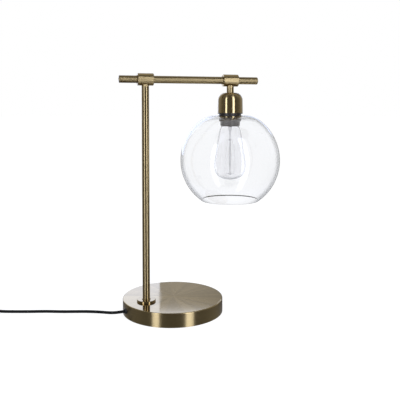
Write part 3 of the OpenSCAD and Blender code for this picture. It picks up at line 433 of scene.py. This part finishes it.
def iron(name):
    """Sand-cast iron with a thin coat of paint."""
    m = Material(name)
    sand = m.noise(m.place(), 420.0, detail=5.0, roughness=0.65)
    m.set(Base_Color=m.ramp(sand, [(0.3, (0.035, 0.035, 0.037)), (0.7, (0.09, 0.088, 0.085))]),
          Metallic=0.35, Roughness=0.72)
    m.bump(sand, 0.5, 0.0004)
    return m.material


def felt(name):
    """Short black fibres."""
    m = Material(name)
    fibres = m.noise(m.place(), 1500.0, detail=6.0, roughness=0.8)
    m.set(Base_Color=m.ramp(fibres, [(0.25, (0.012, 0.012, 0.013)), (0.75, (0.05, 0.05, 0.052))]),
          Roughness=0.95, Sheen_Weight=0.4)
    m.bump(fibres, 0.8, 0.0004)
    return m.material


YARNS_ROUND = 8
YARN_PITCH = 0.0022


def braid(name):
    """Black textile braid: two sets of yarns that cross on the cord's own UV map."""
    m = Material(name)
    uv = m.add("ShaderNodeUVMap", uv_map="along").outputs["UV"]
    parts = m.add("ShaderNodeSeparateXYZ", {0: uv}).outputs
    turn = m.value("MULTIPLY", parts["X"], 2 * math.pi * YARNS_ROUND)
    run = m.value("MULTIPLY", parts["Y"], 2 * math.pi / YARN_PITCH)
    one = m.value("SINE", m.value("ADD", turn, run))
    other = m.value("SINE", m.value("SUBTRACT", turn, run))
    height = m.span(m.value("MAXIMUM", one, other), 0.35, 1.0)
    # The colour follows the yarns' height: darker in the gaps between them, as painted shade, and lighter on
    # their crests.
    m.set(Base_Color=m.ramp(height, [(0.2, (0.003, 0.003, 0.003)), (1.0, (0.010, 0.010, 0.010))]),
          Roughness=0.8, Specular_IOR_Level=0.2)
    m.bump(height, 0.5, 0.0005)
    return m.material


def clear_glass(name, tint, edge, low, high, ior=1.5):
    """Clear glass painted darker from low to high as it turns edge-on: painted shade for the dark
    surroundings that its edges mirror and bend. Lamps pass through it.
    """
    m = Material(name)
    facing = m.add("ShaderNodeLayerWeight", {"Blend": 0.5}).outputs["Facing"]
    m.set(Base_Color=m.ramp(facing, [(0.0, tint), (low, tint), (high, edge)]), Roughness=0.0, IOR=ior,
          Transmission_Weight=1.0)
    lamps = m.add("ShaderNodeBsdfTransparent", {"Color": (0.93, 0.94, 0.95, 1)}).outputs[0]
    rays = m.add("ShaderNodeLightPath").outputs
    m.finish(m.choice(rays["Is Shadow Ray"], m.shader.outputs[0], lamps))
    return m.material


def lead_cover(name):
    """Cream insulation of thin leads."""
    m = Material(name)
    cloud = m.noise(m.place(), 120.0)
    m.set(Base_Color=m.ramp(cloud, [(0.3, (0.55, 0.52, 0.45)), (0.7, (0.66, 0.63, 0.56))]), Roughness=0.45)
    return m.material


def dress(material, *names):
    """Gives CAD nodes or pieces one material."""
    for name in names:
        piece = NODES[name] if isinstance(name, str) else name
        piece.data.materials.clear()
        piece.data.materials.append(material)


# The flat tops of the base and the foot are polished above these heights, a little below the tops themselves
BASE_POLISH_Z = 0.0279
FOOT_POLISH_Z = 0.0319

base_axis = (0, 0, 0)
post_axis = (POST.x, POST.y, 0)
head_axis = (HEAD.x, HEAD.y, 0)
bar_axis = (POST.x, POST.y, Z_BAR)
head_on_bar = (HEAD.x, HEAD.y, Z_BAR)
dress(brushed_brass("spun_brass_base", base_axis, 0.3, lines=0.1, polished_above=(BASE_POLISH_Z, 0.05)),
      "base_cover")
dress(brushed_brass("brushed_brass_post", post_axis, 0.3), "post_tube")
dress(brushed_brass("turned_brass_foot", post_axis, 0.25, polished_above=(FOOT_POLISH_Z, 0.07)), "post_foot")
dress(brushed_brass("brushed_brass_bar", bar_axis, 0.33, along_x=True), "crossbar", "rear_end_cap",
      "front_end_cap")
# The sleeves get the bar's brass painted 1.3 times lighter: painted light for the brighter highlights that
# they catch.
dress(brushed_brass("brushed_brass_post_sleeve", bar_axis, 0.28, along_x=True, lines=0.08, painted_lightness=1.3),
      "post_sleeve")
dress(brushed_brass("brushed_brass_head_sleeve", head_on_bar, 0.28, along_x=True, lines=0.08, painted_lightness=1.3),
      "head_sleeve")
dress(brushed_brass("spun_brass_cup", head_axis, 0.2), "lampholder_cup", "head_stem")
dress(plain_metal("turned_brass", (0.72, 0.50, 0.22), 0.28), "base_nut", "base_nipple", "post_foot_bush",
      "post_top_bush", "head_nipple", "lampholder_shell", "lampholder_terminals", "lampholder_contact",
      "switch_terminals", "switch_blade")
dress(plain_metal("zinc_plate", (0.58, 0.59, 0.60), 0.36), "bottom_plate", "plate_screws", "clamp_screws",
      "base_washer", "swivel_spring_washer", "swivel_pin", "cup_nut", "switch_screws")
dress(plain_metal("nickel_plate", (0.62, 0.61, 0.58), 0.2), "plug_pins", "bulb_cap", "bulb_tip_contact")
dress(iron("cast_iron"), "base_weight")
dress(felt("black_felt"), "felt_pad")
dress(moulded_plastic("black_bakelite", (0.022, 0.017, 0.012), 0.36, texture=500.0, depth=0.05),
      "lampholder_body", "shade_ring", "swivel_friction_washer", "bulb_insulator")
dress(moulded_plastic("black_moulded_plastic", (0.02, 0.02, 0.021), 0.46), "cord_grommet", "cord_clamp",
      "switch_lower_housing", "switch_upper_housing", "switch_rocker", "plug_body", "cord_tie")
dress(plain_metal("filament_wire", (0.72, 0.70, 0.66), 0.35), "bulb_filament")
dress(lead_cover("lead_insulation"), "lower_leads", "upper_leads")
dress(braid("textile_braid"), cord_near, cord_far)


# Glass globe: blown, with a drawn-in seat round the neck hole and a polished open mouth

GLOBE_R = 0.1
GLOBE_WALL = 0.003
MOUTH_DROP = 0.082  # from the globe's middle down to the lip
CROWN_R = 0.0535
CROWN_FROM = math.asin(0.62)  # the angle from the upright axis where the crown's tighter curve begins
SEAT_DIP = 0.0017
SEAT_RUN = 0.004
NECK_HOLE_R = 0.0205
NECK_EDGE_R = 0.0008


def globe_outline():
    """The outer skin from the mouth up to the neck hole, then the inner skin down again and the round lip."""
    r, wall, edge = GLOBE_R, GLOBE_WALL, NECK_EDGE_R
    above = 90 - math.degrees(CROWN_FROM)
    cx, cy = (r - CROWN_R) * math.sin(CROWN_FROM), (r - CROWN_R) * math.cos(CROWN_FROM)
    top = cy + CROWN_R
    mid = r - wall / 2
    lip = math.asin((MOUTH_DROP - wall / 2) / mid)
    below = math.degrees(lip)

    def seat_step(lower):
        """Points on the step where the crown dips down to the neck hole."""
        shares = [i / 10 for i in range(1, 11)]
        return [(cx - SEAT_RUN * t, top - lower - SEAT_DIP * (1 - math.cos(math.pi * t)) / 2) for t in shares]

    return (arc(0, 0, r, -below, above, 72) + arc(cx, cy, CROWN_R, above, 90, 20)[1:] + seat_step(0)
            + arc(NECK_HOLE_R + edge, top - SEAT_DIP - edge, edge, 90, 180, 5)
            + arc(NECK_HOLE_R + edge, top - SEAT_DIP - wall + edge, edge, 180, 270, 5)
            + seat_step(wall)[::-1] + arc(cx, cy, CROWN_R - wall, 90, above, 20)
            + arc(0, 0, r - wall, above, -below, 72)[1:]
            + arc(mid * math.cos(lip), -mid * math.sin(lip), wall / 2, 195 - below, 345 - below, 8))


globe = turned("blown_glass_globe", globe_outline(), (HEAD.x, HEAD.y, Z_GLOBE), steps=160)
dress(clear_glass("globe_glass", (0.975, 0.98, 0.99), (0.16, 0.17, 0.20), low=0.62, high=0.93), globe)
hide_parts("glass_shade")
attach(globe, "arm")


# Bulb: thin blown envelope, glass stem and cage filament

BULB_R = 0.032
BULB_DEPTH = 0.118
BULB_NECK_R = 0.0115
BULB_WALL = 0.0008
BULB_IN_CAP = 0.006

# Shares of the bulb's radius and of its depth below the cap
BULB_SHARES = [(0.41, 0.035), (0.5, 0.075), (0.655, 0.155), (0.775, 0.32), (0.865, 0.49), (0.975, 0.66),
               (1, 0.755), (0.95, 0.86), (0.78, 0.935), (0.5, 0.98), (0.22, 0.997), (0, 1)]


def bulb_curve(wall):
    shares = [(radius * (BULB_R - wall), 0, -depth * (BULB_DEPTH - wall)) for radius, depth in BULB_SHARES]
    return [(max(p.x, 0.0), p.z) for p in smooth_path(shares, steps=8)]


def envelope_outline():
    """The neck inside the cap, then the outer skin down to the tip and the inner skin up again."""
    inner, low = BULB_NECK_R - BULB_WALL, -0.001
    return ([(inner, BULB_IN_CAP), (BULB_NECK_R, BULB_IN_CAP), (BULB_NECK_R, low)] + bulb_curve(0)
            + bulb_curve(BULB_WALL)[::-1] + [(inner, low)])


envelope = turned("bulb_envelope", envelope_outline(), (HEAD.x, HEAD.y, Z_CAP_LOW), steps=96)
dress(clear_glass("bulb_glass_clear", (0.97, 0.97, 0.98), (0.3, 0.31, 0.33), low=0.5, high=0.9, ior=1.45),
      envelope)
dress(clear_glass("stem_glass", (0.72, 0.72, 0.74), (0.05, 0.05, 0.06), low=0.12, high=0.8), "bulb_mount")
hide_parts("bulb_glass")
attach(envelope, "bulb")


# Stage: a pale floor and surround, two upright strip lights in front and two cool panels behind. The floor
# and the surround are white to the camera and through glass. Metal and glass mirror them as uneven greys.

FLOOR_R = 40.0
FLOOR_GREY = (0.30, 0.30, 0.30, 1)
FLOOR_GLOW = 0.86
STRAIGHT_AWAY = from_camera_side(0, 1, 0)
TO_THE_RIGHT = from_camera_side(1, 0, 0)
SURROUND_AS_LIGHT = 0.5
MIRRORED_OVERHEAD = 0.55

# Brightness of the mirrored surround, by degrees to the right of straight away from the camera
SURROUND = [(-180, 0.19), (-115, 0.22), (-75, 0.5), (-35, 0.65), (-18, 0.62), (-1, 0.64), (6, 0.38),
            (18, 0.42), (35, 0.65), (60, 0.65), (95, 0.3), (125, 0.2), (180, 0.19)]


def stage_floor():
    """A matt floor that glows where it is seen. Mirrored, it is brighter behind and glossy in front."""
    bpy.ops.mesh.primitive_circle_add(vertices=96, radius=FLOOR_R, fill_type="NGON", location=(0, 0, 0))
    floor = bpy.context.object
    floor.name = "studio_floor"
    m = Material("pale_floor")
    seen, mirrored = m.seen_and_mirrored()
    away = m.vector("DOT_PRODUCT", m.place(), STRAIGHT_AWAY)["Value"]
    diffuse = m.add("ShaderNodeBsdfDiffuse", {"Color": FLOOR_GREY})
    glow = m.add("ShaderNodeEmission", {"Strength": m.value("MULTIPLY", seen, FLOOR_GLOW)})
    shade = m.add("ShaderNodeEmission", {"Strength": m.span(away, 0.07, 0.45, start=0.0, end=0.8)})
    gloss = {"Color": m.span(away, 0.45, 0.0, start=-0.1, end=0.05), "Roughness": 0.02}
    sheen = m.add("ShaderNodeBsdfGlossy", gloss)
    m.finish(m.choice(mirrored, m.both(diffuse.outputs[0], glow.outputs[0]),
                      m.both(shade.outputs[0], sheen.outputs[0])))
    m.tree.nodes.remove(m.shader)
    floor.data.materials.append(m.material)


def stage_world():
    """A surround that is white where it is seen, dim as a light, and uneven where it is mirrored."""
    world = bpy.data.worlds.new("pale_surround")
    world.use_nodes = True
    bpy.context.scene.world = world
    m = Nodes(world.node_tree)
    background = m.tree.nodes["Background"]
    background.inputs["Color"].default_value = (1, 1, 1, 1)
    where = m.add("ShaderNodeTexCoord").outputs["Generated"]

    def along(direction):
        return m.vector("DOT_PRODUCT", where, direction)["Value"]

    turn = m.value("ARCTAN2", along(TO_THE_RIGHT), along(STRAIGHT_AWAY))
    share = m.span(turn, 0.0, 1.0, start=-math.pi, end=math.pi)
    around = m.ramp(share, [((degrees + 180) / 360, (level, level, level)) for degrees, level in SURROUND])
    overhead = m.value("MULTIPLY", m.span(along((0, 0, 1)), 0.0, 1.0, start=0.5, end=0.8),
                       m.span(along(STRAIGHT_AWAY), 0.0, 1.0, start=-0.1, end=0.12))
    above = {"Factor": overhead, "A": around, "B": MIRRORED_OVERHEAD}
    in_metal = m.add("ShaderNodeMix", above).outputs["Result"]
    seen, mirrored = m.seen_and_mirrored()
    plain = m.value("MAXIMUM", seen, SURROUND_AS_LIGHT)
    strength = m.add("ShaderNodeMix", {"Factor": mirrored, "A": plain, "B": in_metal}).outputs["Result"]
    m.link(strength, background.inputs["Strength"])


def panel_light(name, place, aim, width, height, radiance, colour):
    """A soft panel with an even radiance. It shows in metal, but not to the camera or through glass."""
    data = bpy.data.lights.new(name, "AREA")
    data.shape = "RECTANGLE"
    data.size = width
    data.size_y = height
    data.energy = radiance * math.pi * width * height
    data.color = colour
    lamp = bpy.data.objects.new(name, data)
    lamp.location = from_camera_side(*place)
    ahead = Vector(from_camera_side(*aim)) - lamp.location
    lamp.rotation_euler = ahead.to_track_quat("-Z", "Y").to_euler()
    lamp.visible_camera = False
    lamp.visible_transmission = False
    bpy.context.scene.collection.objects.link(lamp)


COOL = (0.93, 1.0, 1.2)
LILAC = (0.60, 0.73, 1.10)
stage_floor()
stage_world()
panel_light("left_strip", (-0.548, -0.815, 0.55), aim=(0, 0, 0.55), width=0.25, height=1.1, radiance=5.2,
            colour=COOL)
panel_light("right_strip", (0.418, -0.53, 0.55), aim=(0, 0, 0.55), width=0.19, height=1.1, radiance=5.2,
            colour=COOL)
panel_light("back_left_panel", (-0.69, 1.6, 0.95), aim=(-0.69, 0, 0.95), width=1.1, height=1.3, radiance=1.8,
            colour=LILAC)
panel_light("back_high_panel", (0.45, 1.6, 0.71), aim=(0.45, 0, 0.71), width=1.2, height=0.17, radiance=2.0,
            colour=LILAC)

bpy.context.scene.view_settings.view_transform = "Standard"
